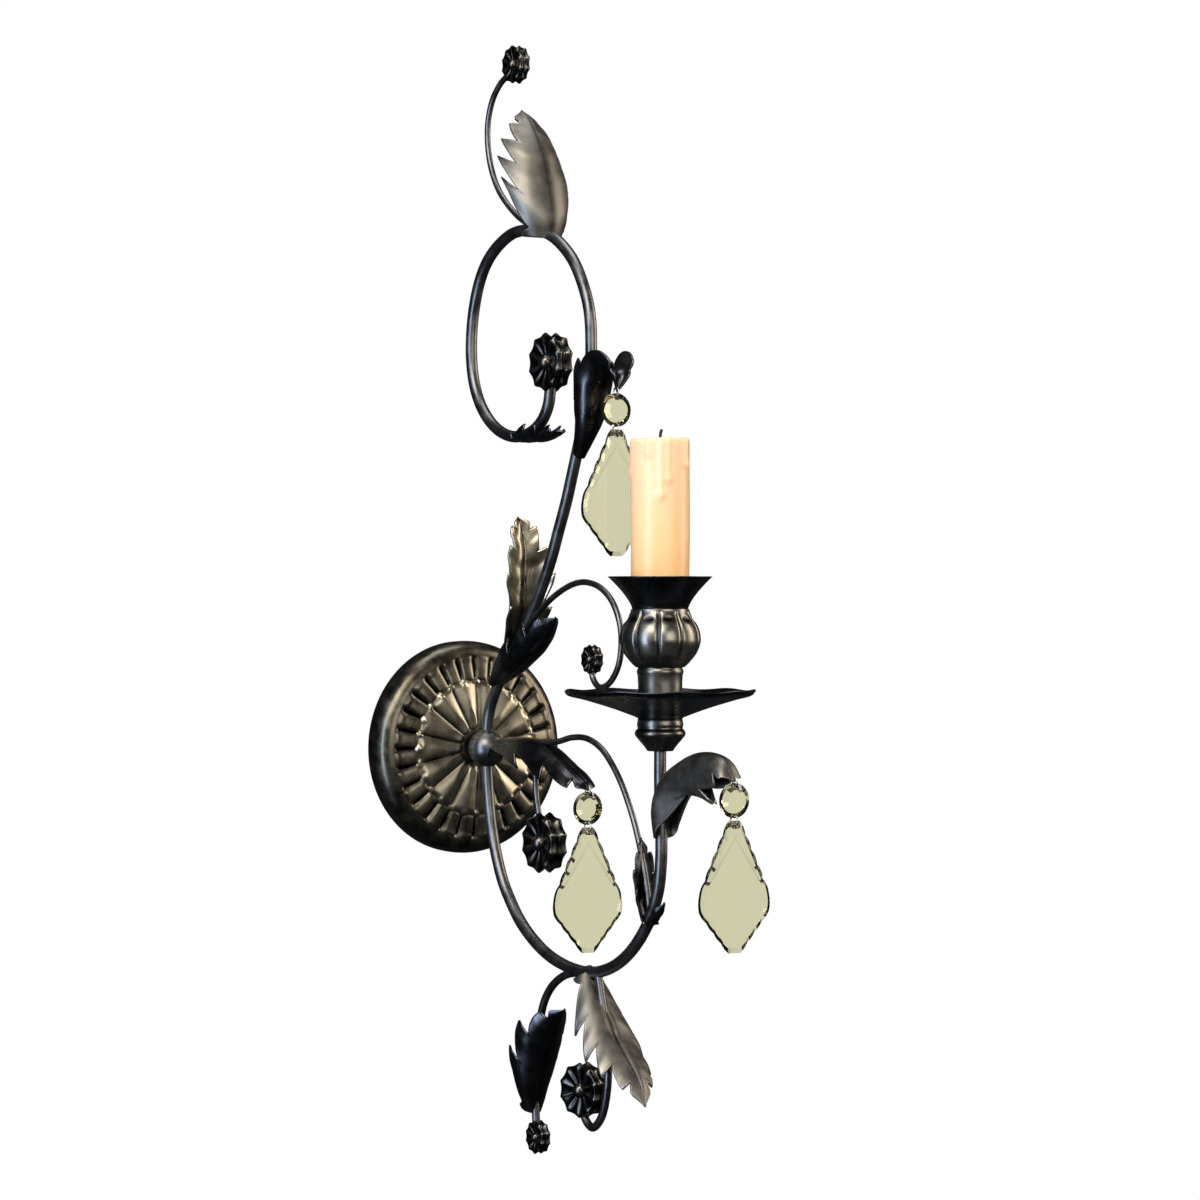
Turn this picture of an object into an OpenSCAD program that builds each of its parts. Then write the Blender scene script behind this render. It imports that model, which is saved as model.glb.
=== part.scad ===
// Wall sconce candle holder: a scroll of round steel bar on a fluted wall plate,
// with a candle cup, sheet steel leaves, rosettes and three crystal drops.
// +Z is up, +Y goes into the wall, and the wall's face is the plane y = 0.

/* [Overall] */
// Distance from the wall to the axis of the candle cup
candle_reach = 220; // [190:1:265]
// Height of the scroll's top above the hub
scroll_rise = 308; // [265:1:370]

/* [Wall plate] */
// Outer diameter of the wall plate
plate_d = 127; // [115:1:155]
// Depth of the plate from the wall to the face that the hub is tightened on
plate_depth = 21; // [18:0.5:24]
// Thickness of the plate's sheet
plate_wall = 1.2; // [1:0.1:2]
// Number of petals round the middle of the plate
plate_petals = 14; // [10:1:18]
// Height of the petals and flutes
flute_h = 1.8; // [1:0.1:2.5]
// Distance between the two wall screws
screw_spacing = 89; // [75:1:96]
// Diameter of the holes for the wall screws
screw_hole_d = 5.2; // [4:0.1:6]
// Diameter of the stud that holds the plate
stud_d = 6; // [5:0.5:7]

/* [Bars] */
// Diameter of the ball hub
hub_d = 23; // [20:0.5:28]
// Diameter of the main scroll's bar
bar_d = 7; // [6:0.5:8.5]
// Diameter of the strut and of the two hanging stems
stem_d = 4.8; // [4:0.2:5.6]
// Diameter of the thin tendrils
tendril_d = 3.6; // [3:0.2:4.4]

/* [Leaves and rosettes] */
// Thickness of the leaves' sheet
leaf_t = 1.2; // [0.8:0.1:1.6]
// Diameter of the large rosettes
rosette_d = 35; // [30:0.5:40]
// Diameter of the small rosettes
small_rosette_d = 20; // [17:0.5:24]
// Thickness of a rosette as a part of its diameter
rosette_depth = 0.36; // [0.3:0.01:0.45]
// Number of petals on a rosette
rosette_petals = 10; // [8:1:12]

/* [Candle cup] */
// Radius of the drip pan
pan_r = 54.3; // [46:0.5:60]
// Radius of the cup's rim
rim_r = 29.7; // [26:0.5:34]
// Radius of the gadrooned bulb
bulb_r = 23; // [19:0.2:26]
// Number of gadroons
gadroons = 10; // [8:1:14]
// Diameter of the threaded tube that holds the cup together
tube_d = 9.6; // [8:0.2:11]
// Thickness of the cup's and the pan's sheet
cup_wall = 1.3; // [1:0.1:2]

/* [Candle] */
// Diameter of the candle
candle_d = 34.5; // [30:0.5:38]
// Length of the candle
candle_h = 88; // [40:1:160]
// Diameter of the wick
wick_d = 1.8; // [1.2:0.1:2.4]

/* [Crystals] */
// Diameter of the round crystals
bead_d = 19.4; // [16:0.2:22]
// Length of the drop crystals
drop_h = 73; // [55:1:85]
// Width of the drop crystals
drop_w = 46; // [38:1:56]
// Thickness of the drop crystals
drop_t = 4.5; // [4:0.5:8]
// Diameter of the wire of the rings
wire_d = 0.9; // [0.7:0.05:1.1]

/* [Hidden] */

dark = [0.27, 0.26, 0.25];
bronze = [0.42, 0.40, 0.36];
wax = [0.98, 0.86, 0.68];
glass = [0.80, 0.79, 0.62];
steel = [0.72, 0.72, 0.70];

// ---- The drawing plane -------------------------------------------------
// The scroll lies in the plane x = 0. A point of it is drawn as [reach, height]
// for a candle 220 mm and a scroll top 308 mm from the hub, and is then
// stretched with the two overall sizes.
draw_reach = 220;
draw_hub = 32;
draw_rise = 308;
hub_reach = plate_depth + hub_d / 2 - 0.5;
reach_k = (candle_reach - hub_reach) / (draw_reach - draw_hub);
rise_k = scroll_rise / draw_rise;
function reach(s) = hub_reach + (s - draw_hub) * reach_k;
function rise(z) = z * rise_k;
function at(p, x = 0) = [x, -reach(p[0]), rise(p[1])];

// A smooth curve through points, with n steps from each one to the next
function catmull(a, b, c, d, t) = 0.5 * (2 * b + (c - a) * t
    + (2 * a - 5 * b + 4 * c - d) * t * t + (3 * b - a - 3 * c + d) * t * t * t);
function curve_at(p, u) =
    let (m = len(p) - 1, i = min(floor(u), m - 1), t = u - i,
         a = i > 0 ? p[i - 1] : 2 * p[0] - p[1],
         d = i < m - 1 ? p[i + 2] : 2 * p[m] - p[m - 1])
    catmull(a, p[i], p[i + 1], d, t);
function curve(p, n) = [for (k = [0:(len(p) - 1) * n]) curve_at(p, k / n)];
function unit(v) = v / norm(v);
function heading(q, i) = unit(q[min(i + 1, len(q) - 1)] - q[max(i - 1, 0)]);

// ---- Helpers -----------------------------------------------------------
// A closed skin over rows of points. The rows are joined in order and the first
// and last rows are closed with flat ends, or joined to each other if loop is set.
module skin(rows, loop = false) {
    n = len(rows[0]);
    m = len(rows);
    last = loop ? m - 1 : m - 2;
    sides = [for (i = [0:last], j = [0:n - 1]) let (k = (j + 1) % n, r = (i + 1) % m)
        each [[i * n + j, i * n + k, r * n + k], [i * n + j, r * n + k, r * n + j]]];
    ends = loop ? [] : [[for (j = [n - 1:-1:0]) j], [for (j = [0:n - 1]) (m - 1) * n + j]];
    polyhedron([for (r = rows) each r], concat(sides, ends));
}

// A round bar along a route in the drawing plane
module bar(route, d, sides = 8, steps = 2) {
    path = curve([for (p = route) at(p)], steps);
    skin([for (i = [0:len(path) - 1])
        let (t = heading(path, i), n = [0, -t[2], t[1]])
        [for (k = [0:sides - 1]) let (a = 360 * k / sides)
            path[i] + d / 2 * (cos(a) * [1, 0, 0] + sin(a) * n)]]);
}

// A lobed leaf of sheet. Its rib follows the spine, and its two halves bend
// away to the side of the normal: wrap holds the bend of a half at the base,
// the middle and the tip. Each lobe swells slowly and ends in a notch.
leaf_fan = 1.2;
leaf_across = [-1, -0.7, -0.35, 0, 0.35, 0.7, 1];
lobe_start = 0.06;
lobe_end = 0.80;
function leaf_steps(lobes) = concat([0],
    [for (i = [0:lobes - 1], f = [0.04, 0.5, 0.96])
        lobe_start + (lobe_end - lobe_start) * (i + f) / lobes], [0.87, 0.95, 1]);
function lobe_part(t, lobes) = t <= lobe_start || t >= lobe_end ? 1
    : let (u = (t - lobe_start) / (lobe_end - lobe_start) * lobes) u - floor(u);
function leaf_width(t, w, base, lobes, notch) =
    let (swell = sin(180 * pow(0.04 + 0.96 * t, 0.74)))
    base * (1 - t) + (w - base) * max(0.02, swell) * (1 - notch * (1 - lobe_part(t, lobes)));
function three(list, t) = t < 0.5 ? list[0] + (list[1] - list[0]) * t * 2
    : list[1] + (list[2] - list[1]) * (t - 0.5) * 2;
module leaf(spine, w, wrap, side = 1, lobes = 3, base = 5, notch = 0.42, sweep = 0.55) {
    q = [for (p = spine) at(p)];
    m = len(q) - 1;
    ts = leaf_steps(lobes);
    rows = [for (t = ts)
        let (c = curve_at(q, t * m), e = curve_at(q, min(t * m + leaf_fan, m)),
             b = curve_at(q, max(t * m - leaf_fan, 0)), g = unit(e - b),
             n = side * [0, g[2], -g[1]], wd = leaf_width(t, w, base, lobes, notch),
             bend = three(wrap, t), r = wd / (bend * PI / 180),
             lean = sweep * leaf_width(t, w, base, lobes, 0) * sin(180 * t)
                 * (0.6 + 0.4 * lobe_part(t, lobes)))
        [for (h = [0, leaf_t], k = [0:6]) let (v = leaf_across[h == 0 ? k : 6 - k],
            out = sin(v * bend) * [1, 0, 0] - cos(v * bend) * n)
            c + r * (out + n) + h * out + lean * pow(abs(v), 1.6) * g]];
    if (side < 0) skin([for (r = rows) [for (k = [13:-1:0]) r[k]]]);
    else skin(rows);
}

// A two-sided rosette: pleated petals on both faces, with a groove between them.
// Each row is [radius, distance from the middle, how far the pleat moves them]
rosette_rows = [[0.10, 0.26, 0, 0], [0.36, 0.34, 0, 0.06], [0.72, 0.50, 0.02, 0.08],
    [0.92, 0.46, 0.07, 0.02], [1.00, 0.26, 0.09, 0], [0.86, 0.04, 0.05, 0]];
module rosette(place, d, turn = 0) {
    depth = rosette_depth * d;
    half = rosette_rows;
    all = concat(half, [for (i = [5:-1:0]) [half[i][0], -half[i][1], half[i][2], -half[i][3]]]);
    n = rosette_petals * 2;
    translate(at(place)) rotate([0, 0, turn]) rotate([0, -90, 0])
        skin([for (r = all) [for (j = [0:n - 1])
            let (low = j % 2, a = 360 * j / n, rad = d / 2 * (r[0] - low * r[2]))
            [rad * cos(a), rad * sin(a), depth * (r[1] - low * r[3])]]], loop = true);
}

// The rivet of a rosette: a bead on each face and a shank through its middle
module rivet(place, d, turn = 0) {
    depth = rosette_depth * d;
    bead = 0.14 * d;
    translate(at(place)) rotate([0, 0, turn]) rotate([0, -90, 0]) {
        cylinder(r = 0.085 * d, h = depth * 0.6, center = true, $fn = 24);
        for (s = [-1, 1]) translate([0, 0, s * depth * 0.26])
            sphere(r = bead, $fn = 32);
    }
}

// ---- Wall plate, bracket and hub ---------------------------------------
plate_r = plate_d / 2;
lip_w = 6.5;
lip_h = 16;
boss_r = 11;
ridge_r = 0.64;
hub_hole_d = stud_d + 0.6;
// Height of the plate without its flutes, at a share u of the way out to the lip
function plate_h(u) = lip_h + (plate_depth - lip_h) * (1 - pow(u, 1.5));
function bump(a, count) = abs(sin(a * count / 2));
module backplate() {
    n = plate_petals * 6;
    span = plate_r - lip_w - boss_r;
    rows = concat(
        [[plate_r, 0, 0, 0], [plate_r, lip_h * 0.55, 0, 0],
         [plate_r - lip_w * 0.22, lip_h * 0.93, 0, 0], [plate_r - lip_w * 0.55, lip_h + 1, 0, 0],
         [plate_r - lip_w, lip_h, 0, 0]],
        [for (u = [0.96, 0.88, 0.76, 0.68]) [boss_r + span * u, plate_h(u),
            u > 0.9 ? 0.5 : 1, 0]],
        [[boss_r + span * ridge_r, plate_h(ridge_r) + 0.9, 0, 0]],
        [for (u = [0.58, 0.40, 0.20, 0.06]) [boss_r + span * u, plate_h(u) - flute_h * 0.5,
            0, u > 0.1 ? 1 : 0.5]],
        [[boss_r, plate_depth, 0, 0]]);
    color(bronze) difference() {
        rotate([90, 0, 0]) skin([for (r = rows) [for (j = [0:n - 1])
            let (a = -360 * j / n)
            [r[0] * cos(a), r[0] * sin(a), r[1] + flute_h * (r[2] * bump(a, plate_petals * 2)
                + r[3] * bump(a, plate_petals))]]]);
        rotate([90, 0, 0]) rotate_extrude($fn = 96) polygon([[0, -1],
            [plate_r - plate_wall, -1], [plate_r - plate_wall, lip_h * 0.5],
            [plate_r - lip_w, lip_h - plate_wall - 0.6],
            [boss_r + span * ridge_r, plate_h(ridge_r) - plate_wall - 0.6],
            [boss_r + span * 0.3, plate_h(0.3) - plate_wall - flute_h * 0.6],
            [boss_r, plate_depth - plate_wall - flute_h * 0.5],
            [0, plate_depth - plate_wall - flute_h * 0.5]]);
        rotate([90, 0, 0]) cylinder(d = hub_hole_d, h = plate_depth * 2, $fn = 32);
    }
}

bracket_t = 2.5;
bracket_w = 20;
bridge_h = 8.5;
bridge_half = 16;
bracket_half = screw_spacing / 2 + 7;
module wall_bracket() {
    color(steel) difference() {
        translate([-bracket_w / 2, 0, 0]) rotate([90, 0, 90]) linear_extrude(bracket_w)
            polygon([for (side = [1, -1]) each let (s = side)
                s > 0 ? [[0, bracket_half], [0, bridge_half + 6], [-bridge_h, bridge_half],
                         [-bridge_h, -bridge_half], [0, -bridge_half - 6], [0, -bracket_half]]
                      : [[-bracket_t, -bracket_half], [-bracket_t, -bridge_half - 7],
                         [-bridge_h - bracket_t, -bridge_half - 1],
                         [-bridge_h - bracket_t, bridge_half + 1],
                         [-bracket_t, bridge_half + 7], [-bracket_t, bracket_half]]]);
        for (z = [-1, 1]) translate([0, 1, z * screw_spacing / 2]) rotate([90, 0, 0])
            cylinder(d = screw_hole_d, h = bracket_t + 2, $fn = 32);
        translate([0, 1, 0]) rotate([90, 0, 0])
            cylinder(d = stud_d, h = bridge_h + bracket_t + 2, $fn = 32);
    }
}

stud_back = 2.5;
stud_in_hub = 7;
stud_len = plate_depth + stud_in_hub - stud_back;
module hub_stud() {
    color(steel) translate([0, -stud_back, 0]) rotate([90, 0, 0])
        cylinder(d = stud_d, h = stud_len, $fn = 32);
}

nut_t = 5;
module stud_nut() {
    color(steel) translate([0, -bridge_h, 0]) rotate([-90, 0, 0]) difference() {
        cylinder(r = stud_d * 0.96, h = nut_t, $fn = 6);
        translate([0, 0, -1]) cylinder(d = stud_d, h = nut_t + 2, $fn = 32);
    }
}

socket_depth = 7;
module ball_hub() {
    color(dark) translate([0, -hub_reach, 0]) difference() {
        sphere(d = hub_d, $fn = 64);
        translate([0, hub_reach - plate_depth + hub_d / 2, 0]) cube(hub_d, center = true);
        translate([0, hub_d, 0]) rotate([90, 0, 0])
            cylinder(d = stud_d, h = hub_d - (hub_reach - plate_depth) + stud_in_hub, $fn = 32);
        for (s = [-1, 1]) translate([0, 0, s * (hub_d / 2 - socket_depth / 2 + 1)])
            cylinder(d = bar_d, h = socket_depth + 2, center = true, $fn = 32);
    }
}

// ---- Bars --------------------------------------------------------------
socket_z = 5.5;
upper_route = [[32, socket_z], [32.5, 14], [36, 26], [46, 40], [62, 58], [78, 76], [92, 94],
    [104, 113], [113, 131], [121, 147], [128, 164], [136, 184], [142, 204], [147, 223],
    [148, 241], [146, 258], [139, 274], [128, 289], [112, 301], [95, 308], [78, 310],
    [61, 309], [45, 303], [32, 294], [23, 282], [17, 267], [14, 251], [14, 235],
    [18, 219], [27, 205], [41, 194], [58, 188], [76, 188], [92, 194], [101, 204],
    [104, 216]];
lower_route = [[32, -socket_z], [32.3, -15], [34, -30], [37, -46], [42, -62], [50, -79],
    [60, -92], [71, -103], [86, -113], [104, -121], [126, -126], [148, -127], [168, -123],
    [185, -115], [199, -104], [210, -91], [218, -75], [221, -57], [221, -38], [220, -18],
    [220, 2]];
module upper_scroll() color(dark) bar(upper_route, bar_d, 10, 2);
module lower_scroll() color(dark) {
    bar(lower_route, bar_d, 10, 2);
    translate([0, -candle_reach, rise(2) - 1]) cylinder(d = bar_d, h = collar_bore + 1, $fn = 32);
}
module top_tendril() color(dark) bar([[100, 305], [86, 311], [71, 317], [57, 326], [45, 337],
    [37, 350], [33, 364], [33, 378], [38, 391], [47, 400], [57, 405]], tendril_d, 8, 3);
module upper_arch() color(dark) bar([[77, 75], [90, 82], [106, 91], [125, 98], [141, 100],
    [157, 97], [170, 89], [178, 77], [180, 65], [177, 52], [168, 42], [157, 39], [150, 44],
    [149, 50]], tendril_d, 8, 3);
module lower_strut() color(dark) bar([[40, 1], [62, 4], [86, 5], [110, 6], [127, 9], [143, 9],
    [158, 4], [170, -5], [180, -16], [188, -28], [195, -41], [201, -56], [206, -72],
    [210, -90]], tendril_d, 8, 3);
module hanging_stem() color(dark) bar([[78, 5], [84, -4], [87, -14], [88, -26], [91, -38],
    [95, -46]], tendril_d, 8, 3);
module left_stem() color(dark) bar([[147, -125], [133, -128], [119, -131], [106, -138],
    [97, -148], [92, -161], [90, -176], [88, -192], [87, -207], [88, -222]], stem_d, 8, 2);
module right_stem() color(dark) bar([[155, -125], [159, -140], [163, -155], [165, -170],
    [166, -184], [164, -198], [159, -210], [150, -217], [142, -213], [139, -205]],
    stem_d, 8, 2);

// ---- Leaves ------------------------------------------------------------
module crown_leaf() color(bronze) leaf([[104, 303], [106, 315], [103, 332], [98, 348],
    [91, 362], [82, 374], [72, 382]], 34, [90, 84, 45], 1, 4, 6, 0.5);
module hook_leaf() color(dark) tip_hole(drop_at[0]) leaf([[138, 172], [149, 185], [156, 199],
    [160, 213], [167, 221], [174, 219], [175, 209]], 28, [150, 110, 30], 1, 3, 7, 0.36, 0.2);
module collar_leaf() color(dark) leaf([[64, 184], [83, 183], [102, 184], [120, 188]], 18,
    [120, 90, 70], 1, 3, 5, 0.6);
module creased_leaf() color(dark) leaf([[58, 56], [66, 73], [71, 89], [73, 104], [73, 119],
    [71, 131], [67, 139]], 23, [80, 45, 30], -1, 4, 6);
module sleeve_leaf() color(dark) leaf([[44, 36], [62, 44], [79, 52], [94, 62], [103, 71],
    [110, 79]], 25, [118, 105, 80], 1, 3, 7);
module hub_leaf() color(dark) tip_hole(drop_at[1]) leaf([[39.4, 3.6], [54, 7], [70, 8], [88, 7],
    [104, 3], [119, -4], [131, -10], [141, -15], [145, -21]], 28, [120, 95, 35], -1, 3, 6);
module front_leaf() color(bronze) tip_hole(drop_at[2]) leaf([[221, -46], [219.5, -29],
    [227, -11], [243, -0.5], [264, 5], [284, 2], [293.5, -10]], 38, [100, 68, 28],
    -1, 3, 5, 0.38, 0.3);
module joint_leaf() color(dark) leaf([[206, -96], [203, -80], [202, -63], [200, -46]], 14,
    [90, 60, 35], -1, 3, 5);
module joint_bract() color(dark) leaf([[211, -97], [217, -92], [222, -87], [225, -82]], 9,
    [150, 120, 80], 1, 1, 6);
module tail_leaf() color(bronze) leaf([[148, -126], [157, -138], [167, -151], [177, -163],
    [188, -174], [199, -185], [205, -199]], 27, [80, 58, 35], -1, 4, 6, 0.46);
module stem_leaf() color(dark) leaf([[88, -215], [94, -194], [101, -177], [109, -163],
    [120, -151]], 30, [118, 100, 80], 1, 3, 5, 0.42, 0.4);

// The hole at a leaf's tip that a drop's hook goes through
module tip_hole(drop) {
    difference() {
        children();
        translate([0, -reach(drop[0]), rise(drop[1])]) rotate([90, 0, 0])
            cylinder(d = wire_hole_d, h = 8, center = true, $fn = 12);
    }
}

// ---- Rosettes ----------------------------------------------------------
// Each is [place, diameter, turn about the vertical]
rosettes = [[[65, 410], small_rosette_d + 3, 0], [[104, 230], rosette_d, 0],
    [[97, -54], rosette_d + 1, 0], [[149, 55], small_rosette_d - 2.5, 0],
    [[90, -229], small_rosette_d, 0], [[140, -196], rosette_d - 2.5, 12]];
module one_rosette(i) color(dark) rosette(rosettes[i][0], rosettes[i][1], rosettes[i][2]);
module one_rivet(i) color(bronze) rivet(rosettes[i][0], rosettes[i][1], rosettes[i][2]);

// ---- Candle cup --------------------------------------------------------
// Heights on the cup's axis, from the bottom of the collar up
cup_z = rise(4);
collar_h = 18.5;
collar_bore = 8;
pan_z = cup_z + collar_h;
pan_floor_h = 4;
pan_rise = 16;
pan_mid_h = 5.6;
neck_z = pan_z + pan_floor_h;
neck_h = 25;
neck_r = 12.8;
bulb_z = neck_z + neck_h;
bulb_h = 33;
waist_r = 15.9;
flare_z = bulb_z + bulb_h;
flare_h = 18.3;
seat_h = 9.5;
seat_z = flare_z + flare_h - seat_h;
spike_h = 22;
spike_r = 1.9;
tube_r = tube_d / 2;
tube_fit = 0.1;
module on_cup(z = 0) translate([0, -candle_reach, z]) children();
module tube_bore(h) translate([0, 0, -1]) cylinder(r = tube_r + tube_fit, h = h + 2, $fn = 48);

module stem_collar() color(dark) on_cup(cup_z) difference() {
    rotate_extrude($fn = 64) polygon([[0, 0], [7.1, 0], [8.2, 1.2], [13.2, 7.6], [14.5, 9.8],
        [14.1, 11.4], [12.9, 12.6], [13.2, 15], [12.6, collar_h], [0, collar_h]]);
    translate([0, 0, -1]) cylinder(d = bar_d, h = collar_bore + 1, $fn = 32);
    translate([0, 0, collar_bore - 0.01]) cylinder(r = tube_r, h = collar_h, $fn = 48);
}

module drip_pan() color(dark) on_cup(pan_z) difference() {
    rotate_extrude($fn = 96) polygon([[0, 0], [12.6, 0], [15, 1.2], [pan_r * 0.5, pan_mid_h],
        [pan_r * 0.95, pan_rise - 3], [pan_r, pan_rise - 0.8], [pan_r, pan_rise],
        [pan_r - 1.2, pan_rise], [pan_r * 0.5, pan_mid_h + cup_wall],
        [15, pan_floor_h], [0, pan_floor_h]]);
    tube_bore(pan_floor_h);
}

module cup_neck() color(bronze) on_cup(neck_z) difference() {
    rotate_extrude($fn = 64) polygon([[0, 0], [neck_r + 0.6, 0], [neck_r, 3],
        [neck_r, neck_h - 4], [neck_r + 0.5, neck_h - 2.5], [neck_r, neck_h], [0, neck_h]]);
    tube_bore(neck_h);
}

// Height and radius of the bulb as shares of its own, and the depth of its flutes
bulb_rows = [[0, 0.60, 0], [0.10, 0.74, 0.2], [0.24, 0.90, 0.8], [0.40, 0.99, 1],
    [0.52, 1.00, 1], [0.66, 0.96, 1], [0.80, 0.86, 1], [0.90, 0.77, 0.7], [1, 0.72, 0]];
gadroon_depth = 0.10;
module cup_bulb() color(bronze) on_cup(bulb_z) difference() {
    n = gadroons * 6;
    skin([for (r = bulb_rows) [for (j = [0:n - 1]) let (a = -360 * j / n,
        rad = bulb_r * (r[1] - gadroon_depth * r[2] * (1 - bump(a, gadroons))))
        [rad * cos(a), rad * sin(a), r[0] * bulb_h]]]);
    tube_bore(bulb_h);
}

flare_floor = flare_h * 0.1 + 0.2;
function flare_r(h) = waist_r + (rim_r - waist_r) * pow(max(0, h) / flare_h, 1.4);
module cup_flare() color(bronze) on_cup(flare_z) difference() {
    rotate_extrude($fn = 96) polygon(concat([[0, 0]],
        [for (h = [0:0.1:1]) [flare_r(h * flare_h), h * flare_h]],
        [for (h = [1:-0.1:0.1]) [flare_r(h * flare_h) - cup_wall, h * flare_h + 0.2]],
        [[0, flare_floor]]));
    tube_bore(4);
}

module cup_tube() color(steel) on_cup(cup_z + collar_bore + 1) difference() {
    cylinder(r = tube_r, h = seat_z - cup_z - collar_bore - 3, $fn = 48);
    translate([0, 0, -1]) cylinder(r = tube_r - 1.6, h = seat_z, $fn = 48);
}

cup_nut_h = 3.2;
nut_top = flare_z + flare_floor + cup_nut_h;
module cup_nut() color(steel) on_cup(flare_z + flare_floor) difference() {
    cylinder(r = tube_r + 3.2, h = cup_nut_h, $fn = 6);
    translate([0, 0, -1]) cylinder(r = tube_r, h = cup_nut_h + 2, $fn = 48);
}

seat_t = 1.4;
seat_r = candle_d / 2 - 1.2;
module candle_seat() color(steel) on_cup() difference() {
    union() {
        translate([0, 0, seat_z - seat_t]) cylinder(r = seat_r, h = seat_t, $fn = 64);
        translate([0, 0, nut_top]) cylinder(r = tube_r + 2, h = seat_z - seat_t - nut_top, $fn = 48);
        translate([0, 0, seat_z]) cylinder(r1 = spike_r, r2 = 0.5, h = spike_h, $fn = 32);
    }
    translate([0, 0, flare_z]) cylinder(r = tube_r, h = seat_z - seat_t - flare_z, $fn = 48);
}

wick_in = 12;
wick_out = 5;
candle_top = seat_z + candle_h;
module candle() color(wax) on_cup(seat_z) difference() {
    rotate_extrude($fn = 96) polygon([[0, 0], [candle_d / 2 - 0.6, 0], [candle_d / 2, 0.8],
        [candle_d / 2, candle_h - 1.2], [candle_d / 2 - 1.2, candle_h],
        [candle_d / 2 - 4, candle_h - 1], [3, candle_h - 2.4], [0, candle_h - 2.6]]);
    translate([0, 0, -1]) cylinder(r = spike_r + 0.3, h = spike_h + 2, $fn = 32);
    translate([0, 0, candle_h - wick_in]) cylinder(d = wick_d, h = wick_in, $fn = 24);
}
module wick() color([0.12, 0.10, 0.09]) on_cup(candle_top - wick_in)
    cylinder(d = wick_d, h = wick_in + wick_out, $fn = 24);

// ---- Crystal drops -----------------------------------------------------
// Where the hook of each drop goes through its leaf
drop_at = [[174.5, 212], [144.3, -18.6], [293.3, -8]];
wire_hole_d = wire_d + 1.1;
ring_r = 2.6;
link_r = 3.4;
hole_in = 1.9;
hook_drop = 2 * ring_r;
bead_drop = hook_drop + bead_d / 2 - hole_in;
link_top = bead_drop + bead_d / 2 - hole_in;
crystal_top = link_top + 2 * link_r - 3.4;
module hang(i, down) translate([0, -reach(drop_at[i][0]), rise(drop_at[i][1]) - down]) children();
module ring(r) rotate([0, 90, 0]) rotate_extrude($fn = 48) translate([r, 0])
    circle(d = wire_d, $fn = 20);
module hook(i) color(steel) hang(i, ring_r) ring(ring_r);
module link(i) color(steel) hang(i, link_top + link_r) ring(link_r);

bead_t = 6;
module bead(i) color(glass) hang(i, bead_drop) rotate([90, 0, 0]) difference() {
    rotate_extrude($fn = 64) polygon([[0, -bead_t / 2], [bead_d * 0.31, -bead_t / 2],
        [bead_d / 2, -0.6], [bead_d / 2, 0.6], [bead_d * 0.31, bead_t / 2], [0, bead_t / 2]]);
    for (s = [-1, 1]) translate([0, s * (bead_d / 2 - hole_in), 0])
        cylinder(d = wire_hole_d, h = bead_t * 2, center = true, $fn = 24);
}

// Half of the drop's outline, from its top down: straight flanks with scallops
shoulder_h = 0.56;
hip_h = 0.69;
function flank(a, b, count, depth) = [for (i = [0:count * 4 - 1])
    let (t = i / (count * 4), u = t * count - floor(t * count), d = b - a,
         n = [-d[1], d[0]] / norm(d))
    a + d * t - n * depth * sin(180 * u)];
drop_edge = concat(flank([3.2, 0], [drop_w / 2, -drop_h * shoulder_h], 5, -0.8),
    flank([drop_w / 2, -drop_h * shoulder_h], [drop_w / 2, -drop_h * hip_h], 1, -0.6),
    flank([drop_w / 2, -drop_h * hip_h], [3.5, -drop_h], 4, -0.5), [[3.5, -drop_h]]);
function drop_ring(inset, y) = let (k = 1 - inset / (drop_w / 2), c = -drop_h * 0.55,
        n = len(drop_edge))
    [for (i = [0:2 * n - 1]) let (p = drop_edge[i < n ? i : 2 * n - 1 - i], s = i < n ? 1 : -1)
        [s * p[0] * k, y, c + (p[1] - c) * k]];
drop_bevel = 2.4;
module crystal(i) color(glass) hang(i, crystal_top) difference() {
    skin([drop_ring(drop_bevel, drop_t / 2), drop_ring(0, 0.8), drop_ring(0, -0.8),
        drop_ring(drop_bevel, -drop_t / 2)]);
    translate([0, 0, -3.4]) rotate([90, 0, 0])
        cylinder(d = wire_hole_d, h = drop_t * 2, center = true, $fn = 12);
}

backplate();
wall_bracket();
hub_stud();
stud_nut();
ball_hub();
upper_scroll();
lower_scroll();
top_tendril();
upper_arch();
lower_strut();
hanging_stem();
left_stem();
right_stem();
crown_leaf();
hook_leaf();
collar_leaf();
creased_leaf();
sleeve_leaf();
hub_leaf();
front_leaf();
joint_leaf();
joint_bract();
tail_leaf();
stem_leaf();
one_rosette(0);  // top_rosette
one_rosette(1);  // loop_rosette
one_rosette(2);  // hub_rosette
one_rosette(3);  // arch_rosette
one_rosette(4);  // left_rosette
one_rosette(5);  // right_rosette
one_rivet(0);  // top_rivet
one_rivet(1);  // loop_rivet
one_rivet(2);  // hub_rivet
one_rivet(3);  // arch_rivet
one_rivet(4);  // left_rivet
one_rivet(5);  // right_rivet
stem_collar();
drip_pan();
cup_neck();
cup_bulb();
cup_flare();
cup_tube();
cup_nut();
candle_seat();
candle();
wick();
hook(0);  // upper_hook
bead(0);  // upper_bead
link(0);  // upper_link
crystal(0);  // upper_crystal
hook(1);  // lower_hook
bead(1);  // lower_bead
link(1);  // lower_link
crystal(1);  // lower_crystal
hook(2);  // front_hook
bead(2);  // front_bead
link(2);  // front_link
crystal(2);  // front_crystal
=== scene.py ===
# %% [markdown]
# # A wall sconce candle holder, dressed over its CAD frame
# The real sconce is round steel bar bent into a scroll, with sheet leaves and cast
# rosettes riveted on, all under one coat of dark bronze lacquer. A spun cup holds an
# ivory candle, and three khaki crystal drops swing from the leaf tips.
# The CAD gives every place and size. Each cell here makes one kind of piece again
# with the finer shape and finish that the eye needs, and puts it on the body it moves with.

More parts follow.
